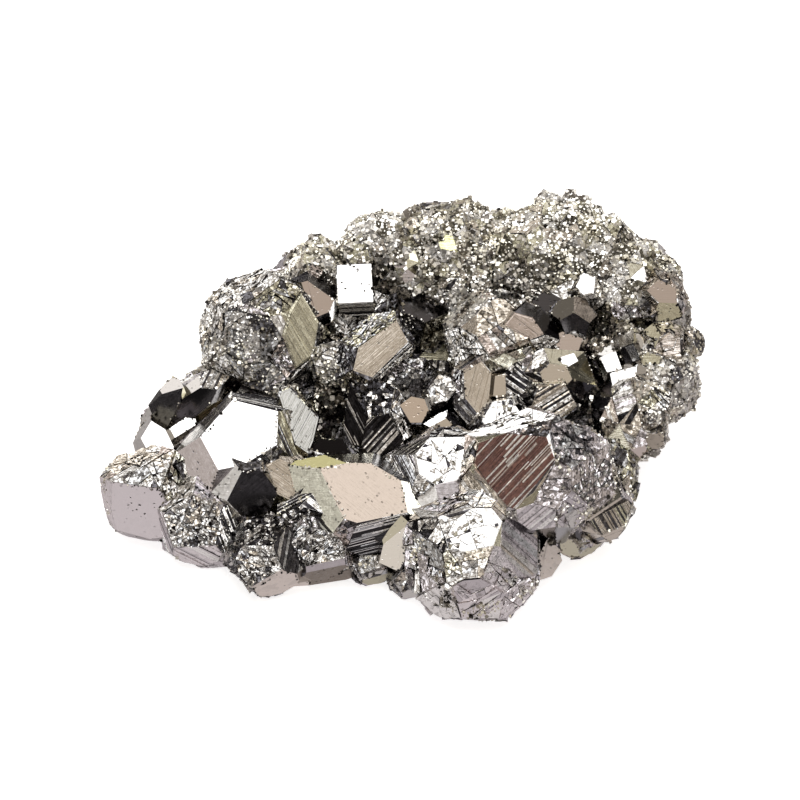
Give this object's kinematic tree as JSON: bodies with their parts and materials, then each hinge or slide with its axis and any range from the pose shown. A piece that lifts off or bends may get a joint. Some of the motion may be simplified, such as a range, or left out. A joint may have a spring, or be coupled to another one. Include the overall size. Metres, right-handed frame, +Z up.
{
  "type": "pyrite specimen",
  "caption": "Low mound of intergrown, metal-bright pyrite crystals: five-sided faces and cubes in front, rounded granular lumps behind, flat underside to rest on.",
  "frame": {"origin": "middle of the specimen's footprint, on the flat underside", "axes": "+Z up from the underside, +X to the right along the long side, -Y towards the front slope with the large crystal faces"},
  "size_m": [0.0696, 0.061, 0.0252],
  "materials": {
    "pyrite": "polished"
  },
  "bodies": {
    "root": {"pyrite_cluster": "pyrite"}
  },
  "joints": []
}
